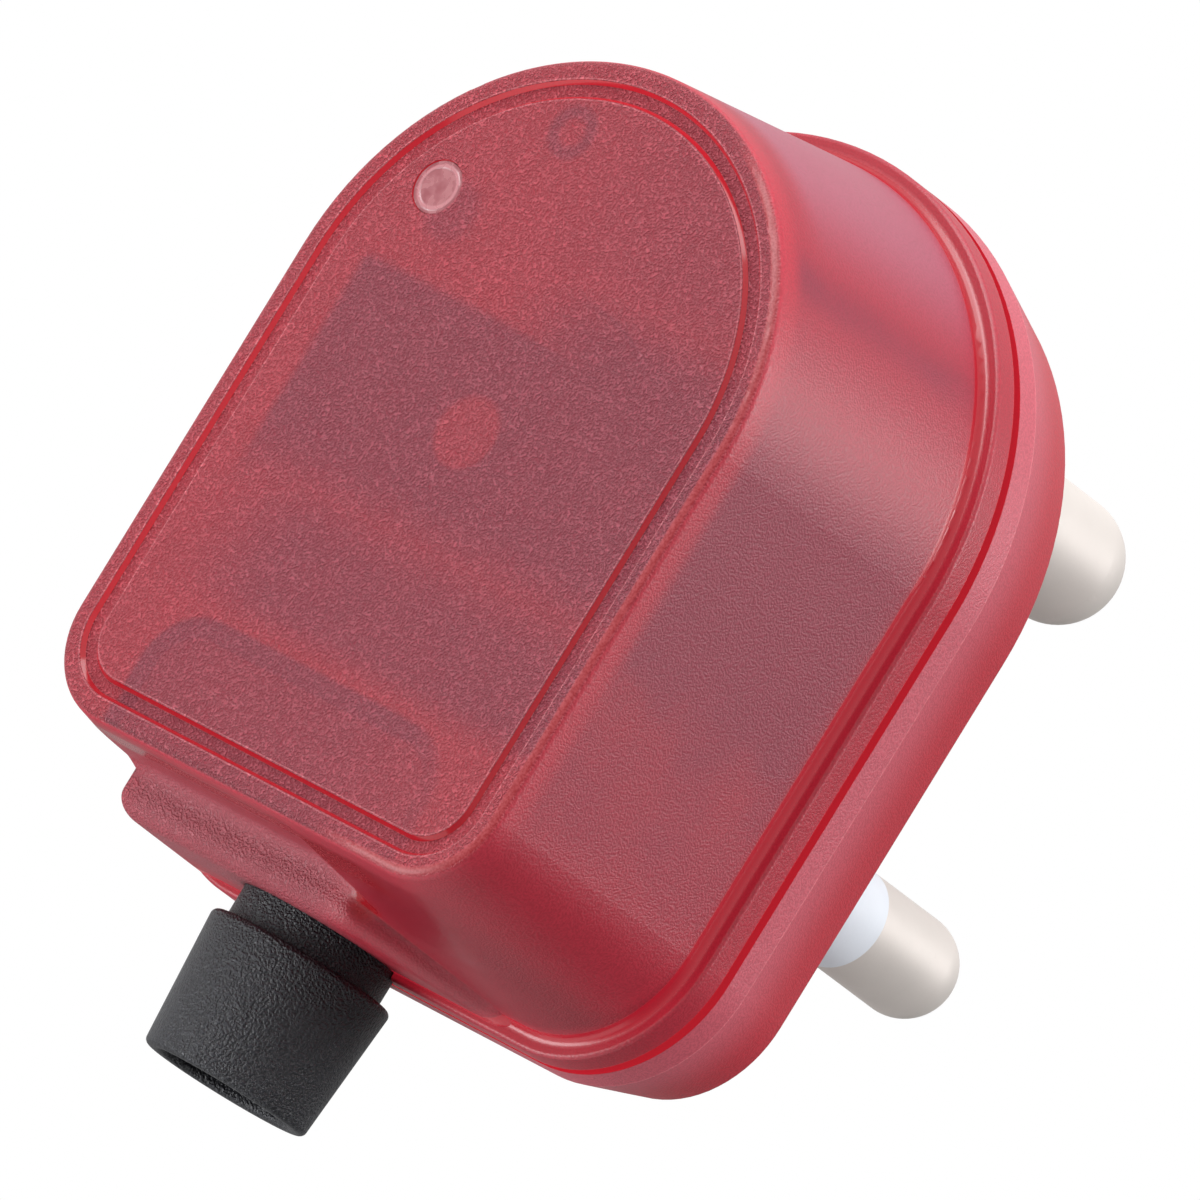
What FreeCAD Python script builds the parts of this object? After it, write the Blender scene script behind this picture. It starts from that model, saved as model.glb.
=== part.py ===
import FreeCAD, Part
import math
import os

# A rewireable mains plug with three round pins, seen with its pins pointing along +Y.
# Every size is in millimetres. X runs to the right seen from the front face, Z runs up to the earth pin.
# A height h is measured from the mating plane towards the front face, so a height h lies at Y = -h.

Vector = FreeCAD.Vector
TO_FACE = Vector(0, -1, 0)
UP = Vector(0, 0, 1)
ALONG_X = Vector(1, 0, 0)

# Pins, to the round-pin standard
LINE_PIN_R = 3.525
LINE_PIN_LENGTH = 21.1
LINE_PIN_SPREAD = 12.7
LINE_PIN_DROP = 28.6
EARTH_PIN_R = 4.35
EARTH_PIN_LENGTH = 28.6
PIN_ROOT_RIM = 0.6
PIN_HOLE_GAP = 0.05
SLEEVE_LENGTH = 10.0
SLEEVE_WALL = 0.8
SHOULDER_RIM = 1.25
SHOULDER_THICK = 1.4
HEAD_RIM = 0.45
HEAD_HEIGHT = 11.6
HEAD_EDGE = 0.4
WIRE_HOLE_R = 1.9
WIRE_HOLE_RISE = 5.1

# Outline of the front face
FACE_HALF_WIDTH = 20.0
DOME_CENTRE_Z = -10.6
FACE_BELOW_PINS = 15.2
CORNER_R = 6.0
FACE_H = 31.35
FACE_EDGE_R = 0.75

# Cover wall and flange, as offsets from the outline of the face
COVER_WALL = 2.0
WALL_FOOT_H = 11.4
WALL_SPREAD = 2.8
FLANGE_SPREAD = 4.0
FLANGE_LOW_H = 9.55
FLANGE_EDGE_R = 0.3
FLANGE_COVE_R = 0.6
LOWER_WALL = 1.8

# Channel that frames the front face
CHANNEL_INSET = 1.4
CHANNEL_WIDTH = 1.35
CHANNEL_SLOPE = 0.28
CHANNEL_DEPTH = 0.36

# Base
BASE_TOP_H = 8.85
BASE_LINE_H = 6.9
BASE_FOOT_SPREAD = 2.0
BASE_FOOT_R = 0.4
BASE_FLOOR = 3.0
BASE_CAVITY_SPREAD = 1.2
TONGUE_SPREAD = 3.4
TONGUE_TOP_H = 10.8
TONGUE_GAP = 0.1
POCKET_GAP = 0.2
POCKET_WALL = 1.1
POCKET_TOP_H = 7.4

# Cord outlet block on the lower edge, set to the left of centre
OUTLET_X = -3.7
OUTLET_H = 13.5
OUTLET_HALF = 14.0
OUTLET_FRONT_H = 21.0
OUTLET_LEFT_SLOPE = 0.9
OUTLET_DROP = 3.5
OUTLET_KNEE_X = 3.6
OUTLET_KNEE_R = 3.0
OUTLET_FOOT_X = 13.0
OUTLET_EDGE_R = 1.5
OUTLET_WALL_STEP = 0.15
OUTLET_WALL_RAMP = 2.6
OUTLET_COVE_R = 1.3

# Cord boot
BOOT_BORE_R = 3.9
BOOT_COLLAR_R = 5.64
BOOT_FLANGE_R = 7.2
BOOT_FLANGE_THICK = 1.7
BOOT_SHOULDER_R = 6.62
BOOT_NECK = 2.2
BOOT_EDGE_R = 0.45
BOOT_MOUTH_R = 5.92
BOOT_SLEEVE_LENGTH = 9.7
BOOT_MOUTH_BORE_R = 4.7
BOOT_MOUTH_DEPTH = 2.6
BOOT_MOUTH_CONE = 1.0
BOOT_HOLE_GAP = 0.06
BOOT_SEAT_GAP = 0.1

# Cord clamp, and the cradle and posts under it
CLAMP_HALF = 12.0
CLAMP_WIDTH = 4.6
CLAMP_BOOT_GAP = 0.2
CLAMP_LIP_RISE = 0.4
CLAMP_LIP_GAP = 0.5
CLAMP_ROOM = 1.85
CLAMP_CORNER_R = 3.4
CLAMP_CHANNEL_R = 3.5
CLAMP_PARTING = 0.3
CLAMP_SCREW_REACH = 8.6
CLAMP_SCREW_INSET = 1.8
CRADLE_HALF = 8.6
CRADLE_WALL = 1.4
CLAMP_POST_R = 1.8

# Screws
CLAMP_SCREW_R = 1.15
CLAMP_SCREW_HEAD_R = 2.1
CLAMP_SCREW_HEAD_H = 1.7
CLAMP_SCREW_DEPTH = 5.3
CLAMP_SCREW_TIP_H = 6.0
COVER_SCREW_R = 1.6
COVER_SCREW_HEAD_R = 3.1
COVER_SCREW_HEAD_H = 2.2
COVER_SCREW_SINK = 0.6
COVER_SCREW_BITE = 11.0
TERMINAL_SCREW_R = 1.9
TERMINAL_SCREW_HEAD_R = 2.8
TERMINAL_SCREW_HEAD_H = 1.9
SCREW_HOLE_GAP = 0.25
SCREW_HEAD_GAP = 0.25
SCREW_TIP_ROOM = 1.5
SLOT_WIDTH = 0.8
SLOT_DEPTH = 0.9

# Screw pillar of the cover, its boss on the base, and a plain hollow post near the dome
PILLAR_Z = -16.8
PILLAR_R = 3.0
PILLAR_REACH = 2.0
BOSS_R = 4.3
BOSS_GAP = 0.2
POST_X = -6.2
POST_Z = 3.7
POST_R = 2.0
POST_BORE_R = 0.9
POST_LENGTH = 4.35
RIB_THICK = 0.9
RIB_HALF_LENGTH = 2.0
RIB_GAP = 0.05

# Indicator window and lamp
LENS_X = -12.5
LENS_Z = -3.6
LENS_R = 1.85
LENS_RIM = 0.45
LENS_RIM_THICK = 0.9
LENS_GAP = 0.05
LENS_SINK = 0.1
LAMP_TUBE_WALL = 0.9
LAMP_TUBE_LENGTH = 3.35
LAMP_R = 1.5
LAMP_RIM = 0.4
LAMP_RIM_THICK = 0.8
LAMP_LENGTH = 3.7
LAMP_GAP = 0.15
LAMP_LEAD_PITCH = 1.8
LAMP_LEAD_DROP = 0.7
LAMP_LEAD_R = 0.25

# Surge module: tray and board
TRAY_HALF = 16.9
TRAY_TOP_Z = -9.3
TRAY_BOTTOM_Z = -22.3
TRAY_DEPTH = 15.4
TRAY_WALL = 1.2
TRAY_TUBE_WALL = 1.1
PILLAR_CLEARANCE = 0.5
BOARD_ROOM = 1.35
BOARD_THICK = 1.6
BOARD_HALF = 17.1
BOARD_MARGIN_TOP = 1.1
BOARD_MARGIN_BOTTOM = 1.5
LEAD_TAIL = 0.5
TRAY_POST_R = 1.9
TRAY_POST_X = 13.5
TRAY_POST_INSET = 2.4
BOARD_PAD_R = 1.2
BOARD_PAD_X = 14.4

# Surge module: the parts that hang from the board
VARISTOR_R = 5.0
VARISTOR_THICK = 4.0
VARISTOR_EDGE_R = 0.9
VARISTOR_DROP = 7.4
VARISTOR_LEAD_PITCH = 5.0
VARISTOR_X = {"live_neutral": -13.3, "live_earth": -8.0, "neutral_earth": 7.4}
LEAD_R = 0.35
FUSE_X = 13.9
FUSE_DROP = 3.8
FUSE_R = 1.4
FUSE_LENGTH = 6.6
FUSE_LEAD_RUN = 1.1
RESISTOR_X = 11.0
RESISTOR_Z = -12.6
RESISTOR_R = 1.0
RESISTOR_DROP = 2.3
RESISTOR_LENGTH = 5.6
RESISTOR_LEAD_LOOP = 0.9
RESISTOR_LEAD_STEP = 2.4

# Straps from the terminals to the board
STRAP_WIDTH = 4.4
STRAP_THICK = 0.6
STRAP_TAB_WIDTH = 1.8
STRAP_OVERHANG = 3.0
STRAP_GAP = 0.15

# What follows from the sizes above
LINE_PIN_Z = -LINE_PIN_DROP
FACE_BOTTOM_Z = LINE_PIN_Z - FACE_BELOW_PINS
CAVITY_BOTTOM_Z = FACE_BOTTOM_Z + LOWER_WALL
OUTLET_BOTTOM_Z = FACE_BOTTOM_Z - OUTLET_DROP
OUTLET_WALL_Z = FACE_BOTTOM_Z - OUTLET_WALL_STEP
BOOT_SHOULDER_Z = OUTLET_BOTTOM_Z - BOOT_NECK
BOOT_END_Z = BOOT_SHOULDER_Z - BOOT_SLEEVE_LENGTH
FACE_INNER_H = FACE_H - COVER_WALL
SHOULDER_TOP_H = BASE_FLOOR + SHOULDER_THICK
HEAD_TOP_H = SHOULDER_TOP_H + HEAD_HEIGHT
WIRE_HOLE_H = SHOULDER_TOP_H + WIRE_HOLE_RISE
STRAP_TOP_H = HEAD_TOP_H + STRAP_THICK
BOARD_TOP_Z = TRAY_TOP_Z + BOARD_MARGIN_TOP
BOARD_BOTTOM_Z = TRAY_BOTTOM_Z - BOARD_MARGIN_BOTTOM
BOARD_TOP_H = FACE_INNER_H - BOARD_ROOM
BOARD_LOW_H = BOARD_TOP_H - BOARD_THICK
TRAY_LOW_H = BOARD_LOW_H - TRAY_DEPTH
PILLAR_LOW_H = TRAY_LOW_H - PILLAR_REACH
COVER_SCREW_TIP_H = PILLAR_LOW_H + COVER_SCREW_BITE
VARISTOR_H = BOARD_LOW_H - VARISTOR_DROP
FUSE_H = BOARD_LOW_H - FUSE_DROP
RESISTOR_TOP_H = BOARD_LOW_H - RESISTOR_DROP
RESISTOR_LOW_H = RESISTOR_TOP_H - RESISTOR_LENGTH
POST_LOW_H = FACE_INNER_H - POST_LENGTH
LAMP_TUBE_LOW_H = FACE_INNER_H - LAMP_TUBE_LENGTH
CLAMP_TOP_H = FACE_INNER_H - CLAMP_ROOM
CLAMP_SCREW_SEAT_H = CLAMP_TOP_H - CLAMP_SCREW_DEPTH
LEAD_END_H = BOARD_TOP_H + LEAD_TAIL
TRAY_MID_Z = (TRAY_TOP_Z + TRAY_BOTTOM_Z) / 2
TUBE_BORE_R = PILLAR_R + PILLAR_CLEARANCE
BOOT_HOLE_R = BOOT_COLLAR_R + BOOT_HOLE_GAP
BOOT_SEAT_Z = CAVITY_BOTTOM_Z + BOOT_SEAT_GAP
BOOT_TOP_Z = BOOT_SEAT_Z + BOOT_FLANGE_THICK
CLAMP_BOTTOM_Z = BOOT_TOP_Z + CLAMP_BOOT_GAP
CLAMP_TOP_Z = CLAMP_BOTTOM_Z + CLAMP_WIDTH
CLAMP_LIP_Z = CAVITY_BOTTOM_Z + CLAMP_LIP_RISE
CLAMP_SCREW_Z = CLAMP_BOTTOM_Z + CLAMP_SCREW_INSET
LENS_SEAT_R = LENS_R + LENS_RIM
LENS_LOW_H = FACE_INNER_H - LENS_RIM_THICK
LAMP_TOP_H = LENS_LOW_H - LAMP_GAP
LAMP_LOW_H = LAMP_TOP_H - LAMP_LENGTH
DRAFT = WALL_SPREAD / (FACE_H - WALL_FOOT_H)
TOP_EDGE_Z = (TRAY_TOP_Z + BOARD_TOP_Z) / 2
BOTTOM_EDGE_Z = (TRAY_BOTTOM_Z + BOARD_BOTTOM_Z) / 2
PINS = {
    "live": (LINE_PIN_SPREAD, LINE_PIN_Z, LINE_PIN_R),
    "neutral": (-LINE_PIN_SPREAD, LINE_PIN_Z, LINE_PIN_R),
    "earth": (0.0, 0.0, EARTH_PIN_R),
}
FAR = 60.0
LAP = 0.5


def at(x, h, z):
    return Vector(x, -h, z)


def box(x0, x1, h0, h1, z0, z1):
    return Part.makeBox(x1 - x0, h1 - h0, z1 - z0, at(x0, h1, z0))


def rod(r, x, z, h0, h1):
    return Part.makeCylinder(r, h1 - h0, at(x, h0, z), TO_FACE)


def rod_z(r, x, h, z0, z1):
    return Part.makeCylinder(r, z1 - z0, at(x, h, z0), UP)


def join(first, *others):
    return first.fuse(list(others)).removeSplitter()


def wire_path(r, points):
    """A round wire along straight runs, with a ball at each turn."""
    pieces = []
    for a, b in zip(points, points[1:]):
        run = b - a
        pieces.append(Part.makeCylinder(r, run.Length, a, run))
    pieces += [Part.makeSphere(r, p) for p in points[1:-1]]
    return pieces


def ends(edge):
    return [v.Point for v in edge.Vertexes]


def at_height(h):
    return lambda e: all(abs(p.y + h) < 1e-4 for p in ends(e))


def runs_along_h(edge):
    return abs(ends(edge)[0].y - ends(edge)[-1].y) > LAP


def edges_where(shape, test):
    return [e for e in shape.Edges if test(e)]


def outline(spread, h):
    """The outline of the face grown by spread, at height h."""
    w = FACE_HALF_WIDTH + spread
    r = CORNER_R + spread
    z_low = FACE_BOTTOM_Z - spread
    cut = r * (1 - math.sqrt(0.5))
    left = at(-w, h, z_low + r)
    right = at(w, h, z_low + r)
    return Part.Wire([
        Part.Arc(at(w, h, DOME_CENTRE_Z), at(0, h, DOME_CENTRE_Z + w), at(-w, h, DOME_CENTRE_Z)).toShape(),
        Part.LineSegment(at(-w, h, DOME_CENTRE_Z), left).toShape(),
        Part.Arc(left, at(-w + cut, h, z_low + cut), at(-w + r, h, z_low)).toShape(),
        Part.LineSegment(at(-w + r, h, z_low), at(w - r, h, z_low)).toShape(),
        Part.Arc(at(w - r, h, z_low), at(w - cut, h, z_low + cut), right).toShape(),
        Part.LineSegment(right, at(w, h, DOME_CENTRE_Z)).toShape(),
    ])


def stack(*levels):
    """A solid through outlines, each level a spread and a height."""
    return Part.makeLoft([outline(*level) for level in levels], True, True)


def wall_level(h, inset=0.0):
    return DRAFT * (FACE_H - h) - inset, h


def on_flange_rim(edge):
    p = edge.valueAt((edge.FirstParameter + edge.LastParameter) / 2)
    ring = outline(FLANGE_SPREAD, WALL_FOOT_H)
    return ring.distToShape(Part.Vertex(p))[0] < 1e-3


def boot_hole():
    return rod_z(BOOT_HOLE_R, OUTLET_X, OUTLET_H, -FAR, CAVITY_BOTTOM_Z + LAP)


# Cover

def cover_outside():
    """Side wall and flange, with rounded edges and a cove where they meet."""
    wall = stack(wall_level(FACE_H), wall_level(WALL_FOOT_H))
    flange = stack((FLANGE_SPREAD, WALL_FOOT_H), (FLANGE_SPREAD, FLANGE_LOW_H))
    solid = join(wall, flange)
    solid = solid.makeFillet(FACE_EDGE_R, edges_where(solid, at_height(FACE_H)))
    foot = edges_where(solid, at_height(WALL_FOOT_H))
    solid = solid.makeFillet(FLANGE_COVE_R, [e for e in foot if not on_flange_rim(e)])
    foot = edges_where(solid, at_height(WALL_FOOT_H))
    return solid.makeFillet(FLANGE_EDGE_R, [e for e in foot if on_flange_rim(e)])


def outlet_plan():
    """The outlet block seen along Z: slanted left side, front, rounded knee and slanted right side."""
    x_left = OUTLET_X - OUTLET_HALF
    front_left = at(x_left, OUTLET_FRONT_H, 0)
    foot_left = at(x_left - OUTLET_LEFT_SLOPE, FLANGE_LOW_H, 0)
    knee = at(OUTLET_KNEE_X, OUTLET_FRONT_H, 0)
    foot = at(OUTLET_FOOT_X, WALL_FOOT_H, 0)
    slant = (foot - knee).normalize()
    turn = math.acos(slant.dot(ALONG_X))
    trim = OUTLET_KNEE_R * math.tan(turn / 2)
    start = knee - ALONG_X * trim
    end = knee + slant * trim
    inward = (slant - ALONG_X).normalize()
    middle = knee + inward * (OUTLET_KNEE_R / math.cos(turn / 2) - OUTLET_KNEE_R)
    low_right = foot + slant * ((WALL_FOOT_H - FLANGE_LOW_H) / abs(slant.y))
    edges = [
        Part.LineSegment(foot_left, front_left).toShape(),
        Part.LineSegment(front_left, start).toShape(),
        Part.Arc(start, middle, end).toShape(),
        Part.LineSegment(end, low_right).toShape(),
        Part.LineSegment(low_right, foot_left).toShape(),
    ]
    return Part.Face(Part.Wire(edges))


def outlet_block():
    block = outlet_plan().extrude(Vector(0, 0, CAVITY_BOTTOM_Z - OUTLET_BOTTOM_Z))
    block.translate(Vector(0, 0, OUTLET_BOTTOM_Z))
    edges = [e for e in block.Edges if all(abs(p.z - OUTLET_BOTTOM_Z) < 1e-4 for p in ends(e))]
    edges = [e for e in edges if max(-p.y for p in ends(e)) > FLANGE_LOW_H + LAP]
    return block.makeFillet(OUTLET_EDGE_R, edges)


def outlet_recess():
    """What is cut from the wall above the outlet block, with a rounded foot and a ramp at its right end."""
    x_left = OUTLET_X - OUTLET_HALF - CORNER_R
    x_ramp = OUTLET_KNEE_X + OUTLET_WALL_RAMP
    z_ramp = FACE_BOTTOM_Z - WALL_SPREAD
    points = [
        at(x_left, OUTLET_FRONT_H, OUTLET_WALL_Z),
        at(OUTLET_KNEE_X, OUTLET_FRONT_H, OUTLET_WALL_Z),
        at(x_ramp + OUTLET_WALL_RAMP, OUTLET_FRONT_H, z_ramp),
        at(x_ramp + OUTLET_WALL_RAMP, OUTLET_FRONT_H, -FAR),
        at(x_left, OUTLET_FRONT_H, -FAR),
    ]
    face = Part.Face(Part.makePolygon(points + points[:1]))
    recess = face.extrude(TO_FACE * (FACE_H - OUTLET_FRONT_H + LAP))
    foot = [e for e in edges_where(recess, at_height(OUTLET_FRONT_H)) if min(p.z for p in ends(e)) > -FAR]
    return recess.makeFillet(OUTLET_COVE_R, foot)


def face_channel():
    top = FACE_H + LAP
    low = FACE_H - CHANNEL_DEPTH
    slope = CHANNEL_SLOPE
    inner = CHANNEL_INSET + CHANNEL_WIDTH
    run_out = slope * LAP / CHANNEL_DEPTH
    outside = stack((-CHANNEL_INSET + run_out, top), (-CHANNEL_INSET - slope, low))
    island = stack((-inner - run_out, top), (-inner + slope, low))
    return outside.cut(island)


def cover_cavity():
    room = stack(wall_level(FACE_INNER_H, COVER_WALL), wall_level(FLANGE_LOW_H - LAP, COVER_WALL))
    room = room.common(box(-FAR, FAR, 0, FACE_H, CAVITY_BOTTOM_Z, FAR))
    pocket_spread = TONGUE_SPREAD + TONGUE_GAP
    pocket = stack((pocket_spread, TONGUE_TOP_H), (pocket_spread, FLANGE_LOW_H - LAP))
    return room.fuse(pocket)


def hold_down_ribs():
    """Ribs that press the pin heads into the base, outside the terminal screws."""
    low = HEAD_TOP_H + RIB_GAP
    ribs = []
    for name, (x, z, r) in PINS.items():
        outer = r + HEAD_RIM - RIB_GAP
        sides = (-1, 1) if name == "earth" else (math.copysign(1, x),)
        for side in sides:
            x_mid = x + side * (outer - RIB_THICK / 2)
            ribs.append(box(x_mid - RIB_THICK / 2, x_mid + RIB_THICK / 2, low, FACE_INNER_H + LAP,
                            z - RIB_HALF_LENGTH, z + RIB_HALF_LENGTH))
    return ribs


def cover_inside():
    top = FACE_INNER_H + LAP
    tube_r = LENS_SEAT_R + LENS_GAP + LAMP_TUBE_WALL
    pads = [rod(BOARD_PAD_R, side * BOARD_PAD_X, TRAY_MID_Z, BOARD_TOP_H, top) for side in (-1, 1)]
    return [
        rod(PILLAR_R, 0, PILLAR_Z, PILLAR_LOW_H, top),
        rod(POST_R, POST_X, POST_Z, POST_LOW_H, top),
        rod(tube_r, LENS_X, LENS_Z, LAMP_TUBE_LOW_H, top),
    ] + hold_down_ribs() + pads


def cover():
    solid = join(cover_outside(), outlet_block())
    solid = solid.cut(outlet_recess()).removeSplitter()
    solid = solid.cut(face_channel()).cut(cover_cavity())
    solid = join(solid, *cover_inside())
    holes = [
        boot_hole(),
        rod(COVER_SCREW_R, 0, PILLAR_Z, 0, COVER_SCREW_TIP_H + SCREW_TIP_ROOM),
        rod(POST_BORE_R, POST_X, POST_Z, 0, FACE_INNER_H),
        rod(LENS_SEAT_R + LENS_GAP, LENS_X, LENS_Z, 0, FACE_INNER_H),
        rod(LENS_R + LENS_GAP, LENS_X, LENS_Z, 0, FACE_H + LAP),
    ]
    return solid.cut(holes)


# Base

def pin_pocket(x, z, r):
    """Square wall around a pin's shoulder and head, and the room inside it."""
    room = r + SHOULDER_RIM + POCKET_GAP
    outer = room + POCKET_WALL
    wall = box(x - outer, x + outer, BASE_FLOOR - LAP, POCKET_TOP_H, z - outer, z + outer)
    inside = box(x - room, x + room, BASE_FLOOR, FACE_H, z - room, z + room)
    return wall, inside


def cradle():
    """Two cross plates with a half-round cut for the cord, and a post for each clamp screw."""
    x0 = OUTLET_X - CRADLE_HALF
    x1 = OUTLET_X + CRADLE_HALF
    top = OUTLET_H - CLAMP_PARTING
    low = BASE_FLOOR - LAP
    z1 = CLAMP_TOP_Z - CLAMP_PARTING
    z0 = CLAMP_BOTTOM_Z
    pieces = [
        box(x0, x1, low, top, z1 - CRADLE_WALL, z1),
        box(x0, x1, low, top, z0, z0 + CRADLE_WALL),
    ]
    pieces += [rod(CLAMP_POST_R, x, CLAMP_SCREW_Z, low, top) for x in clamp_screw_places()]
    return pieces


def clamp_screw_places():
    return OUTLET_X - CLAMP_SCREW_REACH, OUTLET_X + CLAMP_SCREW_REACH


def tray_posts():
    posts = []
    for x in (-TRAY_POST_X, TRAY_POST_X):
        for z in (TRAY_TOP_Z - TRAY_POST_INSET, TRAY_BOTTOM_Z + TRAY_POST_INSET):
            posts.append(rod(TRAY_POST_R, x, z, BASE_FLOOR - LAP, TRAY_LOW_H))
    return posts


def base():
    plate = stack((FLANGE_SPREAD, BASE_TOP_H), (FLANGE_SPREAD, BASE_LINE_H),
                  (BASE_FOOT_SPREAD, 0))
    plate = plate.makeFillet(BASE_FOOT_R, edges_where(plate, at_height(0)))
    tongue = stack((TONGUE_SPREAD, TONGUE_TOP_H), (TONGUE_SPREAD, BASE_LINE_H))
    room = stack((BASE_CAVITY_SPREAD, FACE_H), (BASE_CAVITY_SPREAD, BASE_FLOOR))
    room = room.common(box(-FAR, FAR, 0, FAR, CAVITY_BOTTOM_Z, FAR))
    solid = join(plate, tongue).cut(room)
    pockets = [pin_pocket(*PINS[name]) for name in PINS]
    boss = rod(BOSS_R, 0, PILLAR_Z, BASE_FLOOR - LAP, PILLAR_LOW_H - BOSS_GAP)
    inside = [wall for wall, _ in pockets] + [boss] + cradle() + tray_posts()
    solid = join(solid, *inside)
    cuts = [boot_hole()] + [inner for _, inner in pockets]
    hole_gap = PIN_ROOT_RIM + PIN_HOLE_GAP
    cuts += [rod(r + hole_gap, x, z, -LAP, BASE_FLOOR + LAP) for x, z, r in PINS.values()]
    cuts += [
        rod(COVER_SCREW_R + SCREW_HOLE_GAP, 0, PILLAR_Z, -LAP, FACE_H),
        rod(COVER_SCREW_HEAD_R + SCREW_HEAD_GAP, 0, PILLAR_Z, -LAP, COVER_SCREW_SINK + COVER_SCREW_HEAD_H),
        rod_z(CLAMP_CHANNEL_R, OUTLET_X, OUTLET_H, CLAMP_LIP_Z, CLAMP_TOP_Z),
    ]
    cuts += [rod(CLAMP_SCREW_R, x, CLAMP_SCREW_Z, CLAMP_SCREW_TIP_H, FACE_H) for x in clamp_screw_places()]
    return solid.cut(cuts)


# Pins and what sits on them

def pin_shank(x, z, r, length, sleeved):
    """What lies below the shoulder: full size all along, or a thinner core where the sleeve goes."""
    tip_h = r - length
    if not sleeved:
        return join(rod(r, x, z, tip_h, BASE_FLOOR + LAP), rod(r + PIN_ROOT_RIM, x, z, 0, BASE_FLOOR))
    core = rod(r - SLEEVE_WALL, x, z, tip_h, BASE_FLOOR + LAP)
    return join(core, rod(r, x, z, tip_h, -SLEEVE_LENGTH))


def pin(x, z, r, length, sleeved):
    """Round pin with a domed tip, a shoulder on the base floor and a square head with a wire hole."""
    shank = pin_shank(x, z, r, length, sleeved)
    dome = Part.makeSphere(r, at(x, r - length, z))
    shoulder = rod(r + SHOULDER_RIM, x, z, BASE_FLOOR, SHOULDER_TOP_H)
    half = r + HEAD_RIM
    head = box(x - half, x + half, BASE_FLOOR + LAP, HEAD_TOP_H, z - half, z + half)
    head = head.makeChamfer(HEAD_EDGE, edges_where(head, runs_along_h))
    solid = join(shank, dome, shoulder, head)
    return solid.cut([
        rod_z(WIRE_HOLE_R, x, WIRE_HOLE_H, z - half - LAP, z + half + LAP),
        rod(TERMINAL_SCREW_R, x, z, WIRE_HOLE_H, FACE_H),
    ])


def sleeve(x, z, r):
    """A sleeve flush with the pin outside the base and a little larger within it."""
    root = rod(r + PIN_ROOT_RIM, x, z, 0, BASE_FLOOR)
    return join(rod(r, x, z, -SLEEVE_LENGTH, BASE_FLOOR), root).cut(rod(r - SLEEVE_WALL, x, z, -FAR, FAR))


def screw(x, z, r, head_r, head_h, seat_h, tip_h):
    """A slotted screw along h: the head sits at seat_h and the tip ends at tip_h."""
    side = 1 if seat_h > tip_h else -1
    top = seat_h + side * head_h
    shank = rod(r, x, z, min(seat_h, tip_h), max(seat_h, tip_h))
    head = rod(head_r, x, z, min(seat_h, top), max(seat_h, top))
    low = top - side * SLOT_DEPTH
    reach = head_r + LAP
    half = SLOT_WIDTH / 2
    slot = box(x - reach, x + reach, min(low, top), max(low, top), z - half, z + half)
    return join(shank, head).cut(slot)


def terminal_screw(name):
    x, z, _ = PINS[name]
    tip = WIRE_HOLE_H + WIRE_HOLE_R
    return screw(x, z, TERMINAL_SCREW_R, TERMINAL_SCREW_HEAD_R, TERMINAL_SCREW_HEAD_H, STRAP_TOP_H, tip)


def clamp_screw(x):
    return screw(x, CLAMP_SCREW_Z, CLAMP_SCREW_R, CLAMP_SCREW_HEAD_R, CLAMP_SCREW_HEAD_H,
                 CLAMP_SCREW_SEAT_H, CLAMP_SCREW_TIP_H)


def cover_screw():
    return screw(0, PILLAR_Z, COVER_SCREW_R, COVER_SCREW_HEAD_R, COVER_SCREW_HEAD_H,
                 COVER_SCREW_SINK + COVER_SCREW_HEAD_H, COVER_SCREW_TIP_H)


def strap(name, z_leg):
    """A strip under the terminal screw, bent up to the board, with a narrow end through it."""
    x, z, _ = PINS[name]
    inward = 1 if z_leg > z else -1
    z_end = z - inward * STRAP_OVERHANG
    half = STRAP_WIDTH / 2
    leg_far = z_leg + inward * STRAP_THICK / 2
    leg_near = z_leg - inward * STRAP_THICK / 2
    flat = box(x - half, x + half, HEAD_TOP_H, STRAP_TOP_H, min(z_end, leg_far), max(z_end, leg_far))
    z0 = min(leg_far, leg_near)
    z1 = max(leg_far, leg_near)
    leg = box(x - half, x + half, HEAD_TOP_H, BOARD_LOW_H, z0, z1)
    tab = box(x - STRAP_TAB_WIDTH / 2, x + STRAP_TAB_WIDTH / 2, BOARD_LOW_H - LAP, LEAD_END_H, z0, z1)
    return join(flat, leg, tab).cut(rod(TERMINAL_SCREW_R + STRAP_GAP, x, z, 0, FACE_H))


def strap_slot(name, z_leg):
    x, _, _ = PINS[name]
    half = STRAP_TAB_WIDTH / 2 + STRAP_GAP
    depth = STRAP_THICK / 2 + STRAP_GAP / 2
    return box(x - half, x + half, 0, FACE_H, z_leg - depth, z_leg + depth)


# Cord boot and clamp

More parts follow.
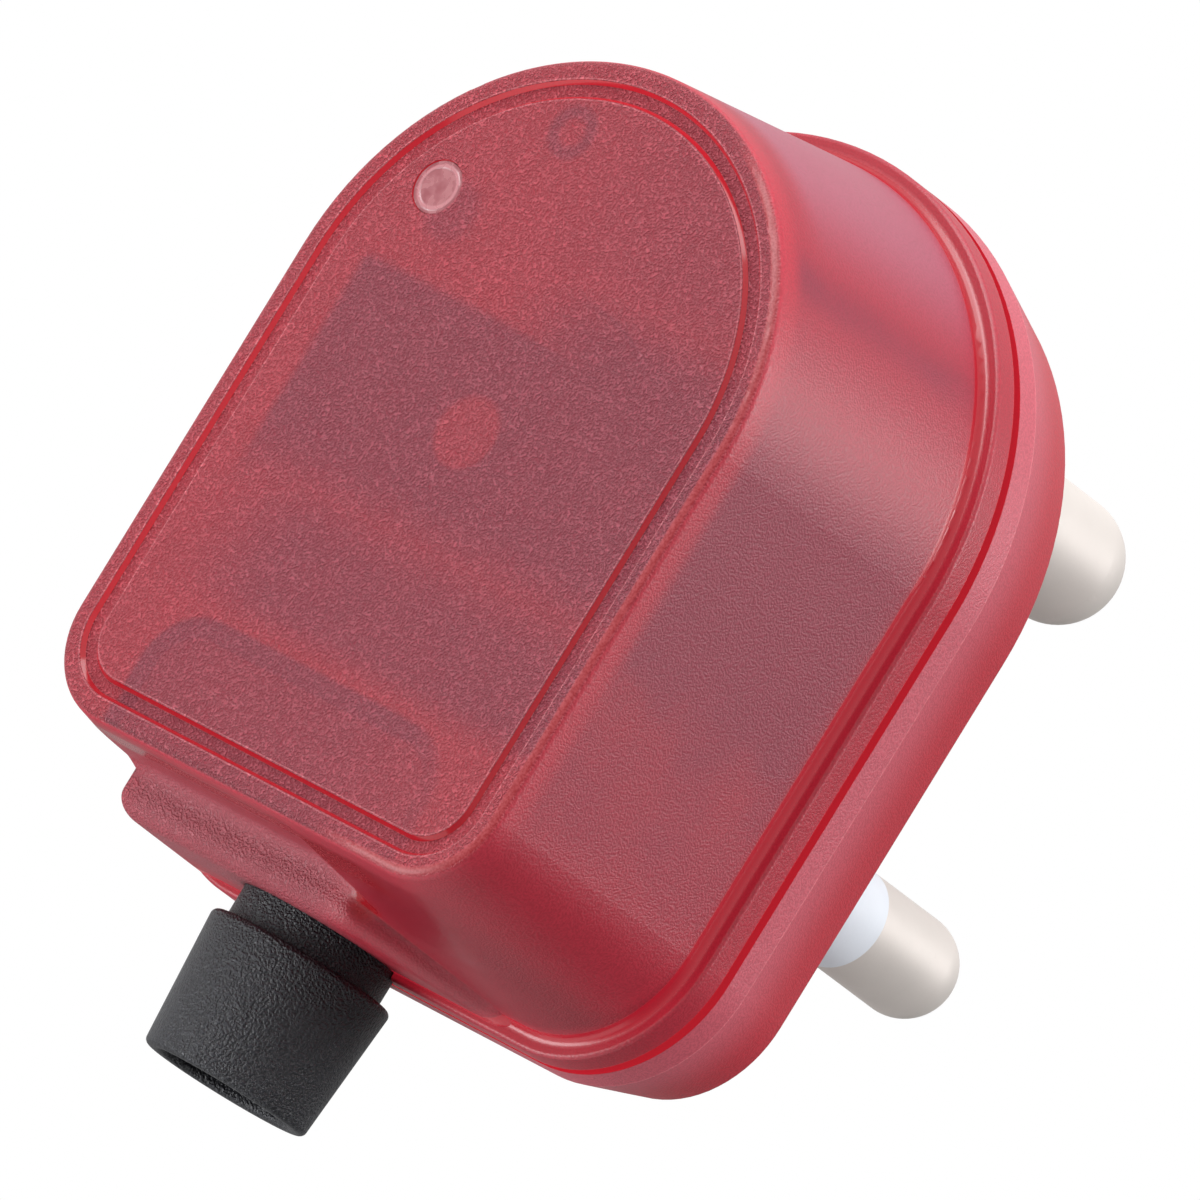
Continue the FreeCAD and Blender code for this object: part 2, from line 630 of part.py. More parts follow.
def cord_boot():
    """A sleeve turned about the outlet's axis, with a flange behind the cover and a belled mouth."""
    bell = BOOT_END_Z + BOOT_MOUTH_DEPTH
    profile = [
        (BOOT_BORE_R, BOOT_TOP_Z), (BOOT_FLANGE_R, BOOT_TOP_Z), (BOOT_FLANGE_R, BOOT_SEAT_Z),
        (BOOT_COLLAR_R, BOOT_SEAT_Z), (BOOT_COLLAR_R, BOOT_SHOULDER_Z), (BOOT_SHOULDER_R, BOOT_SHOULDER_Z),
        (BOOT_MOUTH_R, BOOT_END_Z), (BOOT_MOUTH_BORE_R, BOOT_END_Z), (BOOT_MOUTH_BORE_R, bell),
        (BOOT_BORE_R, bell + BOOT_MOUTH_CONE),
    ]
    points = [at(OUTLET_X + r, OUTLET_H, z) for r, z in profile]
    face = Part.Face(Part.makePolygon(points + points[:1]))
    boot = face.revolve(at(OUTLET_X, OUTLET_H, 0), UP, 360)
    rings = [e for e in boot.Edges if is_ring(e, BOOT_SHOULDER_R, BOOT_SHOULDER_Z)]
    rings += [e for e in boot.Edges if is_ring(e, BOOT_MOUTH_R, BOOT_END_Z)]
    rings += [e for e in boot.Edges if is_ring(e, BOOT_MOUTH_BORE_R, BOOT_END_Z)]
    return boot.makeFillet(BOOT_EDGE_R, rings)


def is_ring(edge, r, z):
    if not hasattr(edge.Curve, "Radius"):
        return False
    return abs(edge.Curve.Radius - r) < 1e-3 and abs(edge.Curve.Center.z - z) < 1e-3


def clamp_plan(z_low, h0, h1):
    """The bar's plan with its two upper corners rounded, from h0 to h1."""
    bar = box(OUTLET_X - CLAMP_HALF, OUTLET_X + CLAMP_HALF, h0, h1, z_low, CLAMP_TOP_Z)
    upper = [e for e in edges_where(bar, runs_along_h) if ends(e)[0].z > CLAMP_TOP_Z - LAP]
    return bar.makeFillet(CLAMP_CORNER_R, upper)


def cord_clamp():
    lip_h = OUTLET_H + BOOT_FLANGE_R + CLAMP_LIP_GAP
    bar = clamp_plan(CLAMP_BOTTOM_Z, OUTLET_H + CLAMP_PARTING, CLAMP_TOP_H)
    bar = join(bar, clamp_plan(CLAMP_LIP_Z, lip_h, CLAMP_TOP_H))
    cuts = [rod_z(CLAMP_CHANNEL_R, OUTLET_X, OUTLET_H, -FAR, 0)]
    for x in clamp_screw_places():
        cuts.append(rod(CLAMP_SCREW_R + SCREW_HOLE_GAP, x, CLAMP_SCREW_Z, 0, FACE_H))
        cuts.append(rod(CLAMP_SCREW_HEAD_R + SCREW_HEAD_GAP, x, CLAMP_SCREW_Z, CLAMP_SCREW_SEAT_H, FACE_H))
    return bar.cut(cuts)


# Indicator

def indicator_lens():
    body = rod(LENS_R, LENS_X, LENS_Z, LENS_LOW_H, FACE_H - LENS_SINK)
    return join(body, rod(LENS_SEAT_R, LENS_X, LENS_Z, LENS_LOW_H, FACE_INNER_H))


def lamp_lead_places():
    return LENS_X - LAMP_LEAD_PITCH / 2, LENS_X + LAMP_LEAD_PITCH / 2


def indicator_lamp():
    """A small domed lamp with two leads that run under the board's edge and up through it."""
    centre_h = LAMP_TOP_H - LAMP_R
    body = rod(LAMP_R, LENS_X, LENS_Z, LAMP_LOW_H, centre_h)
    dome = Part.makeSphere(LAMP_R, at(LENS_X, centre_h, LENS_Z))
    rim = rod(LAMP_R + LAMP_RIM, LENS_X, LENS_Z, LAMP_LOW_H, LAMP_LOW_H + LAMP_RIM_THICK)
    run_h = LAMP_LOW_H - LAMP_LEAD_DROP
    leads = []
    for x in lamp_lead_places():
        points = [at(x, LAMP_LOW_H + LAP, LENS_Z), at(x, run_h, LENS_Z), at(x, run_h, TOP_EDGE_Z),
                  at(x, LEAD_END_H, TOP_EDGE_Z)]
        leads += wire_path(LAMP_LEAD_R, points)
    return join(body, dome, rim, *leads)


# Surge module

def module_case():
    """An open tray with a tube around the cover's screw pillar."""
    wall = TRAY_WALL
    outside = box(-TRAY_HALF, TRAY_HALF, TRAY_LOW_H, BOARD_LOW_H, TRAY_BOTTOM_Z, TRAY_TOP_Z)
    outside = outside.makeFillet(wall, edges_where(outside, runs_along_h))
    room = box(-TRAY_HALF + wall, TRAY_HALF - wall, TRAY_LOW_H + wall, FACE_H, TRAY_BOTTOM_Z + wall,
               TRAY_TOP_Z - wall)
    tube = rod(TUBE_BORE_R + TRAY_TUBE_WALL, 0, PILLAR_Z, TRAY_LOW_H, BOARD_LOW_H)
    return join(outside.cut(room), tube).cut(rod(TUBE_BORE_R, 0, PILLAR_Z, 0, FACE_H))


def varistor_lead_places(x):
    half = VARISTOR_LEAD_PITCH / 2
    return [(x, TRAY_MID_Z - half), (x, TRAY_MID_Z + half)]


def varistor(x):
    side = at(x - VARISTOR_THICK / 2, VARISTOR_H, TRAY_MID_Z)
    disc = Part.makeCylinder(VARISTOR_R, VARISTOR_THICK, side, ALONG_X)
    disc = disc.makeFillet(VARISTOR_EDGE_R, [e for e in disc.Edges if e.isClosed()])
    leads = [rod(LEAD_R, *place, VARISTOR_H, LEAD_END_H) for place in varistor_lead_places(x)]
    return join(disc, *leads)


def fuse_lead_places():
    reach = FUSE_LENGTH / 2 + FUSE_LEAD_RUN
    return [(FUSE_X, TRAY_MID_Z - reach), (FUSE_X, TRAY_MID_Z + reach)]


def thermal_fuse():
    half = FUSE_LENGTH / 2
    body = rod_z(FUSE_R, FUSE_X, FUSE_H, TRAY_MID_Z - half, TRAY_MID_Z + half)
    leads = []
    for x, z in fuse_lead_places():
        leads += wire_path(LEAD_R, [at(x, FUSE_H, TRAY_MID_Z), at(x, FUSE_H, z), at(x, LEAD_END_H, z)])
    return join(body, *leads)


def resistor_lead_places():
    return [(RESISTOR_X, RESISTOR_Z), (RESISTOR_X, RESISTOR_Z - RESISTOR_LEAD_STEP)]


def resistor():
    top = RESISTOR_TOP_H
    body = rod(RESISTOR_R, RESISTOR_X, RESISTOR_Z, RESISTOR_LOW_H, top)
    x, z = resistor_lead_places()[1]
    loop_h = RESISTOR_LOW_H - RESISTOR_LEAD_LOOP
    points = [at(x, top, RESISTOR_Z), at(x, loop_h, RESISTOR_Z), at(x, loop_h, z), at(x, LEAD_END_H, z)]
    up = rod(LEAD_R, RESISTOR_X, RESISTOR_Z, top - LAP, LEAD_END_H)
    return join(body, up, *wire_path(LEAD_R, points))


def lead_holes():
    places = fuse_lead_places() + resistor_lead_places()
    for x in VARISTOR_X.values():
        places += varistor_lead_places(x)
    holes = [rod(LEAD_R, x, z, 0, FACE_H) for x, z in places]
    return holes + [rod(LAMP_LEAD_R, x, TOP_EDGE_Z, 0, FACE_H) for x in lamp_lead_places()]


def circuit_board():
    board = box(-BOARD_HALF, BOARD_HALF, BOARD_LOW_H, BOARD_TOP_H, BOARD_BOTTOM_Z, BOARD_TOP_Z)
    slots = [strap_slot(name, BOTTOM_EDGE_Z) for name in ("live", "neutral")]
    slots.append(strap_slot("earth", TOP_EDGE_Z))
    return board.cut(lead_holes() + slots + [rod(TUBE_BORE_R, 0, PILLAR_Z, 0, FACE_H)])


def pieces():
    left, right = clamp_screw_places()
    nodes = {
        "cover": cover(),
        "base": base(),
        "earth_pin": pin(*PINS["earth"], EARTH_PIN_LENGTH, False),
        "live_pin": pin(*PINS["live"], LINE_PIN_LENGTH, True),
        "neutral_pin": pin(*PINS["neutral"], LINE_PIN_LENGTH, True),
        "live_sleeve": sleeve(*PINS["live"]),
        "neutral_sleeve": sleeve(*PINS["neutral"]),
        "live_strap": strap("live", BOTTOM_EDGE_Z),
        "neutral_strap": strap("neutral", BOTTOM_EDGE_Z),
        "earth_strap": strap("earth", TOP_EDGE_Z),
        "cord_boot": cord_boot(),
        "cord_clamp": cord_clamp(),
        "clamp_screw_left": clamp_screw(left),
        "clamp_screw_right": clamp_screw(right),
        "cover_screw": cover_screw(),
        "indicator_lens": indicator_lens(),
        "indicator_lamp": indicator_lamp(),
        "module_case": module_case(),
        "circuit_board": circuit_board(),
        "thermal_fuse": thermal_fuse(),
        "resistor": resistor(),
    }
    for name in PINS:
        nodes[name + "_terminal_screw"] = terminal_screw(name)
    for name, x in VARISTOR_X.items():
        nodes["varistor_" + name] = varistor(x)
    return nodes


os.makedirs("parts", exist_ok=True)
for node, shape in pieces().items():
    shape.exportStep("parts/" + node + ".step")
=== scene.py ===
import bmesh
import bpy
from mathutils import Matrix, Vector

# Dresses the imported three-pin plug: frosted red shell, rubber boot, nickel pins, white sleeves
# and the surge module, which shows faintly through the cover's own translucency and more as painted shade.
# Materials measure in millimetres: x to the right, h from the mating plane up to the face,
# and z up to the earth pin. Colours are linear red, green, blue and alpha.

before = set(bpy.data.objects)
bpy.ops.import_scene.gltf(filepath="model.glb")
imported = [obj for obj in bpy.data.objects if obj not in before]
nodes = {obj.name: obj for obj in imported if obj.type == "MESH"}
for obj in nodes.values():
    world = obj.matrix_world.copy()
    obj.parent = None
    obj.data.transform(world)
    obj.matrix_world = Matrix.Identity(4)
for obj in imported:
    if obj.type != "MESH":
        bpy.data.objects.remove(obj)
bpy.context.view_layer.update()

MM = 0.001

# Places on the shell that its finish follows
FACE_H = 31.35
FACE_HALF = 20.0
FACE_CORNER = 6.0
DOME_Z = -10.6
FACE_LOW_Z = -43.8
CHANNEL_LOW_H = 30.99
CHANNEL_OUTER_LIP = -1.34
CHANNEL_INNER_LIP = -2.83
WALL_TOP_H = 29.6
WALL_FOOT_H = 11.4
COVE_TOP_H = 12.2
FLANGE_LOW_H = 9.55
BASE_TOP_H = 8.85
BASE_LINE_H = 6.9
LENS_X = -12.5
LENS_Z = -3.6
LENS_RING_LOW_R = 1.35
LENS_RING_R = 1.62
OUTLET_Z = -44.0
OUTLET_TOP_H = 29.0
CREASE_LOW_H = 25.6
CREASE_TOP_H = 29.2
RIDGE_LOW_H = 20.6
RIDGE_TOP_H = 22.6
DIMPLE = (4.9, 21.0, -45.3)
DIMPLE_R = 1.7

# Places of the painted shade of what shows through the face
MODULE_LEFT_X = -14.65
MODULE_TOP_Z = -9.4
MODULE_LOW_Z = -24.5
CLAMP_X = 0.6
CLAMP_Z = -39.0
CLAMP_CORNER_X = 9.3
CLAMP_EDGE = 3.7
PILLAR_X = 0.6
PILLAR_Z = -16.8
PILLAR_R = 2.55
POST_X = -5.1
POST_Z = 3.4
POST_R = 1.9
POST_BORE_R = 1.0
ARC_CENTRE = (4.0, FACE_H, -17.0)
ARC_LOW_R = 10.9
ARC_R = 11.2

# Reds of the shell: its own reds first, then painted shade, light, sheen and highlights
RED = (0.36, 0.013, 0.030, 1)
RED_CLOUD = (0.405, 0.015, 0.034, 1)
# Painted shade, in order: where the insides show through the shell, in the grain's pits, and on the smooth
# places
RED_INSIDES_SHADE = (0.247, 0.014, 0.037, 1)
RED_PIT_SHADE = (0.07, 0.001, 0.004, 1)
RED_SMOOTH_SHADE = (0.20, 0.001, 0.004, 1)
# Painted light, in order: a band along the wall's top by the face edge, a brighter red base side turning
# paler towards the groove, and sheen on the dome top and on the outlet's left
RED_EDGE_LIGHT = (0.46, 0.020, 0.042, 1)
RED_BASE_LIT = (0.47, 0.020, 0.036, 1)
RED_BASE_SHEEN = (0.55, 0.100, 0.135, 1)
RED_DOME_SHEEN = (0.34, 0.085, 0.130, 1)
RED_OUTLET_SHEEN = (0.42, 0.065, 0.090, 1)
# Painted shade on the outlet's down-facing right end
RED_SLANT_SHADE = (0.19, 0.002, 0.012, 1)
# Painted highlights, in order: along the outlet's ridge, on the grain's peaks, and pale lines on the channel
# lips and the base's witness line
RED_RIDGE_HIGHLIGHT = (0.40, 0.190, 0.220, 1)
FROST_HIGHLIGHT = (0.72, 0.34, 0.37, 1)
PALE_LINE_HIGHLIGHT = (0.85, 0.25, 0.28, 1)
# Dust specks
DUST = (0.85, 0.80, 0.80, 1)

# Painted red glow on the polished places, cove, crease, dimple and face edge, standing in for light that the
# plastic carries
NO_GLOW = (0, 0, 0, 1)
GROOVE_GLOW = (0.35, 0.013, 0.022, 1)
EDGE_GLOW = (0.31, 0.006, 0.014, 1)
COVE_GLOW = (0.25, 0.008, 0.018, 1)
DIMPLE_GLOW = (0.20, 0.002, 0.006, 1)


# Shader maths

class Value:
    """A node socket that takes part in ordinary arithmetic, each step adding one Math node."""

    def __init__(self, finish, socket):
        self.finish = finish
        self.socket = socket

    def step(self, operation, *terms):
        node = self.finish.node("ShaderNodeMath", {"operation": operation}, dict(enumerate(terms)))
        return Value(self.finish, node.outputs[0])

    def __add__(self, other):
        return self.step("ADD", self, other)

    def __radd__(self, other):
        return self.step("ADD", other, self)

    def __sub__(self, other):
        return self.step("SUBTRACT", self, other)

    def __rsub__(self, other):
        return self.step("SUBTRACT", other, self)

    def __mul__(self, other):
        return self.step("MULTIPLY", self, other)

    def __rmul__(self, other):
        return self.step("MULTIPLY", other, self)

    def root(self):
        return self.step("SQRT", self)

    def size(self):
        return self.step("ABSOLUTE", self)

    def most(self, other):
        return self.step("MAXIMUM", self, other)

    def least(self, other):
        return self.step("MINIMUM", self, other)

    def over(self, other):
        """1 where the value is greater than the other, and 0 elsewhere."""
        return self.step("GREATER_THAN", self, other)

    def ramp(self, low, high):
        """Runs smoothly from 0 where the value is low to 1 where it is high."""
        node = self.finish.node(
            "ShaderNodeMapRange",
            {"interpolation_type": "SMOOTHSTEP"},
            {"Value": self, "From Min": low, "From Max": high, "To Min": 0.0, "To Max": 1.0},
        )
        return Value(self.finish, node.outputs["Result"])

    def past(self, edge, soft):
        """0 before the edge and 1 past it, softened by that much on each side."""
        return self.ramp(edge - soft, edge + soft)

    def before(self, edge, soft):
        """1 before the edge and 0 past it, softened by that much on each side."""
        return 1.0 - self.past(edge, soft)

    def within(self, low, high, soft):
        """1 between low and high and 0 outside, softened by that much on each side."""
        return self.past(low, soft) * self.before(high, soft)


def length(*sides):
    """The straight distance that the sides span together."""
    total = sides[0] * sides[0]
    for side in sides[1:]:
        total = total + side * side
    return total.root()


def add_node(tree, kind, settings, sockets):
    """Adds a node: its settings first, then its sockets, each with a value or a link."""
    node = tree.nodes.new(kind)
    for key, value in settings.items():
        setattr(node, key, value)
    feed(tree, node, sockets)
    return node


def feed(tree, node, sockets):
    for key, value in sockets.items():
        if isinstance(value, Value):
            tree.links.new(value.socket, node.inputs[key])
        elif isinstance(value, bpy.types.NodeSocket):
            tree.links.new(value, node.inputs[key])
        else:
            node.inputs[key].default_value = value


class Finish:
    """One material: a Principled shader and the nodes that feed it."""

    def __init__(self, name, **sockets):
        self.material = bpy.data.materials.new(name)
        self.material.use_nodes = True
        self.tree = self.material.node_tree
        self.tree.nodes.clear()
        output = self.node("ShaderNodeOutputMaterial", {}, {})
        self.shader = self.node("ShaderNodeBsdfPrincipled", {}, {})
        self.tree.links.new(self.shader.outputs[0], output.inputs["Surface"])
        self.place = self.node("ShaderNodeTexCoord", {}, {}).outputs["Object"]
        node = self.node("ShaderNodeSeparateXYZ", {}, {"Vector": self.place})
        self.x, y, self.z = [Value(self, node.outputs[axis]) * (1.0 / MM) for axis in "XYZ"]
        self.h = y * -1.0
        self.set(**sockets)

    def node(self, kind, settings, sockets):
        return add_node(self.tree, kind, settings, sockets)

    def set(self, **sockets):
        """Sets or feeds the shader's sockets, each named with _ where its own name has a space."""
        feed(self.tree, self.shader, {key.replace("_", " "): value for key, value in sockets.items()})

    def noise(self, per_mm, detail, roughness=0.5):
        """Noise from 0 to 1 with that many features per millimetre."""
        node = self.node(
            "ShaderNodeTexNoise",
            {"noise_dimensions": "3D"},
            {"Vector": self.place, "Scale": per_mm / MM, "Detail": detail, "Roughness": roughness},
        )
        return Value(self, node.outputs["Fac"])

    def specks(self, per_mm, radius_mm, share):
        """1 on small round specks, of which only that share of the cells holds one."""
        sockets = {"Vector": self.place, "Scale": per_mm / MM}
        node = self.node("ShaderNodeTexVoronoi", {"feature": "F1"}, sockets)
        tint = self.node("ShaderNodeSeparateColor", {}, {"Color": node.outputs["Color"]})
        chosen = 1.0 - Value(self, tint.outputs["Red"]).over(share)
        rim = radius_mm * per_mm
        near = 1.0 - Value(self, node.outputs["Distance"]).ramp(rim * 0.6, rim)
        return near * chosen

    def spot(self, x, z, radius, soft):
        """1 inside a circle on the face, 0 outside."""
        return length(self.x - x, self.z - z).before(radius, soft)

    def away(self, x, h, z):
        """The distance in millimetres from a point."""
        return length(self.x - x, self.h - h, self.z - z)

    def blend(self, factor, first, second):
        """A colour that runs from first to second with the factor."""
        node = self.node("ShaderNodeMix", {"data_type": "RGBA"}, {0: factor, 6: first, 7: second})
        return node.outputs[2]

    def softened(self, factor, radius_mm):
        """The surface's normal, rounded over its edges where the factor is 1."""
        plain = self.node("ShaderNodeNewGeometry", {}, {}).outputs["Normal"]
        rounded = self.node("ShaderNodeBevel", {"samples": 6}, {"Radius": radius_mm * MM}).outputs["Normal"]
        node = self.node("ShaderNodeMix", {"data_type": "VECTOR"}, {0: factor, 4: plain, 5: rounded})
        return node.outputs[1]

    def bump(self, height, depth_mm, below=None, share=1.0):
        """Relief of that many millimetres from a height of 0 to 1, as strong as the share says."""
        sockets = {"Height": height, "Distance": depth_mm * MM, "Strength": share}
        if below:
            sockets["Normal"] = below
        return self.node("ShaderNodeBump", {}, sockets).outputs["Normal"]


# Red shell

def past_corner(across, down, radius):
    """How far a point lies outside two edges that meet in a round corner, negative inside."""
    return length(across.most(0.0), down.most(0.0)) + across.most(down).least(0.0) - radius


def past_outline(f):
    """How far a point lies outside the outline of the face, in millimetres, negative inside."""
    side = f.x.size()
    dome = length(side, f.z - DOME_Z) - FACE_HALF
    across = side - (FACE_HALF - FACE_CORNER)
    down = (FACE_LOW_Z + FACE_CORNER) - f.z
    low = past_corner(across, down, FACE_CORNER)
    upper = f.z.over(DOME_Z)
    return dome * upper + low * (1.0 - upper)


def inside_shade_on_face(f):
    """Painted shade of the insides on the face, from 0 to 1, lighter over the pillar."""
    above_foot = f.z.past(MODULE_LOW_Z, 3.5)
    module = f.x.past(MODULE_LEFT_X, 0.45) * f.z.before(MODULE_TOP_Z, 0.5) * above_foot
    module_right = f.x.ramp(-4.0, 8.0) * (1.0 - f.z.ramp(-8.5, -2.5)) * above_foot
    above_module = f.x.ramp(-9.0, 11.0) * f.z.ramp(-9.0, -2.0) * 0.5
    below_module = f.x.ramp(-17.0, -6.0) * (1.0 - above_foot) * f.z.ramp(-35.0, -32.0) * 0.9
    past_clamp = past_corner((f.x - CLAMP_X).size() - CLAMP_CORNER_X, f.z - CLAMP_Z, CLAMP_EDGE)
    clamp_edge = past_clamp.within(-0.8, 0.6, 0.35) * (1.5 - f.x.ramp(6.0, 14.0))
    clamp = past_clamp.before(0.0, 0.5) * (0.72 - f.x.ramp(4.0, 13.0) * 0.3)
    pillar = f.spot(PILLAR_X, PILLAR_Z, PILLAR_R, 0.35)
    pillar_shade = f.spot(PILLAR_X + 1.0, PILLAR_Z - 1.8, 3.2, 1.0) * 0.35
    post = f.spot(POST_X, POST_Z, POST_R, 0.35) - f.spot(POST_X, POST_Z, POST_BORE_R, 0.3)
    # Painted shadow of the lamp beside the lens
    lamp_shade = f.spot(LENS_X + 2.2, LENS_Z - 1.0, 2.1, 0.7) * 0.6
    arc = f.away(*ARC_CENTRE).within(ARC_LOW_R, ARC_R, 0.2) * f.x.ramp(2.0, 5.0) * f.z.ramp(-13.0, -10.0)
    dark = module.most(module_right).most(above_module).most(below_module).most(clamp_edge).most(clamp)
    dark = dark.most(post * 0.8).most(lamp_shade) + arc * 0.3 + pillar_shade
    return dark * (1.0 - pillar * 0.8)


def inside_shade_on_wall(f, cloud):
    """Painted shade of the insides on the side wall, from 0 to 1."""
    wavy = f.z + cloud * 5.0
    above_foot = wavy.ramp(-26.5, -22.0)
    uneven = 0.15 + cloud * 0.7
    module = above_foot * (1.0 - f.z.ramp(-12.0, -3.0))
    below_module = f.z.ramp(-40.0, -34.0) * (1.0 - above_foot) * uneven
    shelf = f.z.within(1.0, 3.2, 1.1) * f.x.ramp(4.0, 12.0) * uneven
    above_module = f.z.ramp(-8.0, 0.0) * 0.35
    return (module + below_module + shelf + above_module) * f.h.within(COVE_TOP_H, WALL_TOP_H, 0.7)


def red_shell():
    """Frosted translucent red plastic: grained face and outlet, finer sides, polished grooves; painted shade
    of the insides, painted shade, sheen and highlights, and a painted red glow.
    """
    f = Finish("red_shell", IOR=1.5, Transmission_Weight=0.12, Specular_IOR_Level=0.5, Emission_Strength=1.0)
    cloud = f.noise(0.22, 3.0)
    grain = f.noise(6.4, 1.0)
    peaks = grain.ramp(0.32, 0.68)
    dust = f.specks(0.22, 0.07, 0.5)

    # Where each place of the shell is, as shares from 0 to 1
    past_face = past_outline(f)
    on_face = f.h.ramp(31.0, 31.2).most(f.h.over(30.5) * past_face.before(-1.2, 0.1))
    channel = f.h.within(CHANNEL_LOW_H + 0.03, FACE_H - 0.03, 0.015) * past_face.before(-1.275, 0.075)
    outer_lip = past_face.within(CHANNEL_OUTER_LIP - 0.04, CHANNEL_OUTER_LIP + 0.04, 0.03)
    inner_lip = past_face.within(CHANNEL_INNER_LIP - 0.04, CHANNEL_INNER_LIP + 0.04, 0.03)
    lips = (outer_lip + inner_lip) * on_face * (1.0 - channel)
    # The right-hand face edge, which gets painted shade and a painted glow
    rounded_edge = past_face.within(-0.62, -0.12, 0.12) * f.h.ramp(30.7, 31.0) * f.x.ramp(6.0, 12.0)
    groove = f.h.within(BASE_TOP_H - 0.02, FLANGE_LOW_H + 0.04, 0.03)
    cove = f.h.within(WALL_FOOT_H, COVE_TOP_H, 0.08)
    upper_edge = f.h.ramp(28.6, 31.0) * (1.0 - on_face)
    dome_top_sheen = f.z.ramp(2.5, 9.0) * f.h.within(COVE_TOP_H, 27.5, 1.5)
    base_side = f.h.before(BASE_TOP_H - 0.05, 0.05)
    base_line = f.h.within(BASE_LINE_H - 0.05, BASE_LINE_H + 0.05, 0.04)
    above_cove = f.h.ramp(COVE_TOP_H, COVE_TOP_H + 1.0)
    outlet = f.z.before(OUTLET_Z, 1.0) * f.h.before(OUTLET_TOP_H, 0.5) * above_cove
    outlet_left = outlet * (1.0 - f.x.ramp(0.0, 5.0)) * f.h.ramp(13.0, 16.0)
    outlet_right = outlet * f.x.ramp(3.0, 9.0)
    from_dimple = f.away(*DIMPLE)
    dimple = 1.0 - from_dimple.ramp(0.9, DIMPLE_R)
    below_edge = f.z.before(FACE_LOW_Z + 0.125, 0.075) * f.x.ramp(-18.0, -15.0) * (1.0 - f.x.ramp(9.0, 13.0))
    crease = below_edge * f.h.within(CREASE_LOW_H, CREASE_TOP_H, 0.6)
    ridge = below_edge * f.h.within(RIDGE_LOW_H, RIDGE_TOP_H, 0.6) * (1.0 - f.x.ramp(0.0, 6.0))
    polished = channel.most(groove)
    satin = cove.most(dimple).most(crease * 0.9)
    smooth = polished.most(satin).most(rounded_edge)
    grained = on_face.most(outlet_left * 0.65)

    # Colour: the plastic's own reds, painted shade of the insides, painted light, sheen, highlights and
    # shade, painted shade and highlights on the grain, and the dust that lies over all of it
    # Painted shade where the insides show through the shell
    insides = (inside_shade_on_face(f) * on_face).most(inside_shade_on_wall(f, cloud) * (1.0 - on_face)) * (0.85 + cloud * 0.3)
    red = f.blend(insides.least(1.25), f.blend(cloud, RED, RED_CLOUD), RED_INSIDES_SHADE)
    # Painted light: a brighter red band along the wall's top by the face edge
    red = f.blend(upper_edge * 0.7, red, RED_EDGE_LIGHT)
    # Painted light: the base side a brighter red low down, turning to a pale sheen towards the groove
    red = f.blend(base_side * 0.85, red, f.blend(f.h.ramp(1.5, 7.5), RED_BASE_LIT, RED_BASE_SHEEN))
    # Painted sheen on the top of the dome wall
    red = f.blend(dome_top_sheen * 0.8, red, RED_DOME_SHEEN)
    # Painted sheen on the outlet's left front
    red = f.blend(outlet_left * 0.8, red, RED_OUTLET_SHEEN)
    # Painted shade on the outlet's down-facing right end
    red = f.blend(outlet_right * 0.55, red, RED_SLANT_SHADE)
    # Painted highlight along the outlet's ridge
    red = f.blend(ridge * 0.2, red, RED_RIDGE_HIGHLIGHT)
    # Painted highlights on the base's witness line and the channel lips
    red = f.blend(base_line.most(lips) * 0.4, red, PALE_LINE_HIGHLIGHT)
    # Painted shade: a darker red on the grooves, cove, crease, dimple and right-hand face edge
    red = f.blend(smooth, red, RED_SMOOTH_SHADE)
    # Painted shade in the grain's pits
    pit_shade = 0.33 * on_face + 0.2 * outlet_left + 0.24 * (1.0 - grained)
    red = f.blend((1.0 - peaks) * pit_shade, red, RED_PIT_SHADE)
    # Painted highlights on the grain's peaks
    red = f.blend(peaks * on_face * (1.0 - channel) * 0.085, red, FROST_HIGHLIGHT)
    red = f.blend(dust, red, DUST)

    # Painted red glow on the grooves, cove, crease, dimple and right-hand face edge, weaker on the far side
    far_side = f.x.ramp(2.0, 14.0).most(1.0 - f.z.ramp(-41.5, -38.0)) * on_face
    glow = f.blend(polished * (1.0 - far_side * 0.4), NO_GLOW, GROOVE_GLOW)
    glow = f.blend(rounded_edge * 0.4, glow, EDGE_GLOW)
    glow = f.blend(cove.most(crease * 0.25), glow, COVE_GLOW)
    glow = f.blend(dimple * 0.5, glow, DIMPLE_GLOW)

    outlet_end = outlet_right * f.h.ramp(18.5, 20.5)
    gloss = satin.most(outlet_end * 0.7) * 0.45
    rounded = f.softened(outlet, 0.9)
    dent = f.bump(from_dimple.ramp(0.6, DIMPLE_R), 0.2, rounded)
    relief = (grained + (1.0 - grained) * 0.13) * (1.0 - smooth)
    f.set(
        Base_Color=red,
        Emission_Color=glow,
        Roughness=(0.40 + grain * 0.10) * (1.0 - polished * 0.7) * (1.0 - gloss),
        Normal=f.bump(peaks, 0.18, dent, relief),
    )
    return f.material


# Other finishes

BLACK_LOW = (0.002, 0.002, 0.004, 1)
BLACK_HIGH = (0.007, 0.007, 0.012, 1)
GREY_DUST = (0.35, 0.35, 0.36, 1)
NICKEL_DULL = (0.56, 0.51, 0.475, 1)
NICKEL_BRIGHT = (0.62, 0.565, 0.525, 1)
NICKEL_MARK = (0.40, 0.36, 0.32, 1)
WHITE_DULL = (0.61, 0.63, 0.68, 1)
WHITE_BRIGHT = (0.66, 0.69, 0.73, 1)
LENS_DARK = (0.32, 0.08, 0.095, 1)
LENS_LIGHT = (0.44, 0.16, 0.175, 1)
LENS_RING = (0.54, 0.21, 0.23, 1)
BUFF_DARK = (0.52, 0.40, 0.27, 1)
BUFF_LIGHT = (0.60, 0.47, 0.32, 1)
RED_BAND = (0.5, 0.02, 0.01, 1)
VIOLET_BAND = (0.45, 0.02, 0.30, 1)
ORANGE_BAND = (0.9, 0.25, 0.01, 1)
